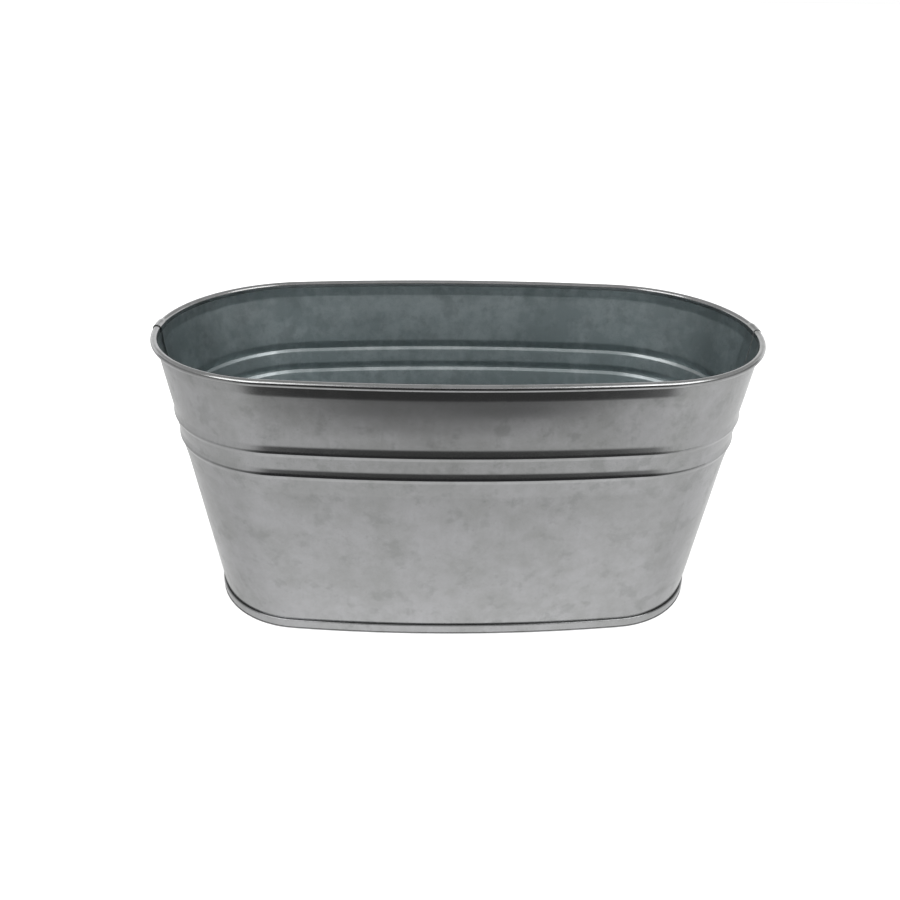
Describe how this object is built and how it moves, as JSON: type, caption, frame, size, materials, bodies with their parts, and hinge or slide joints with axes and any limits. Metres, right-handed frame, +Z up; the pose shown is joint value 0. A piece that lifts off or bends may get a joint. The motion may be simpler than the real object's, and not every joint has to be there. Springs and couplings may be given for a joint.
{
  "type": "livestock water trough",
  "caption": "Small tapered oval tub of galvanised sheet steel with a rolled rim, pressed ribs round the upper wall and a double-seamed base, holding drinking water on the ground.",
  "frame": {"origin": "on the floor, under the centre of the tub", "axes": "+Z up, X along the tub's length, -Y towards the front wall, whose edges lie outside the rear wall's in the end laps"},
  "size_m": [0.361, 0.1768, 0.182],
  "materials": {
    "galvanised_sheet": "satin zinc coating with soft cloudy mottling",
    "galvanised_wire": "satin",
    "seam_sealant": "matt grey"
  },
  "bodies": {
    "root": {"front_wall": "galvanised_sheet", "rear_wall": "galvanised_sheet", "base_pan": "galvanised_sheet", "rim_wire": "galvanised_wire", "base_sealant": "seam_sealant", "left_lap_sealant": "seam_sealant", "right_lap_sealant": "seam_sealant"}
  },
  "joints": []
}
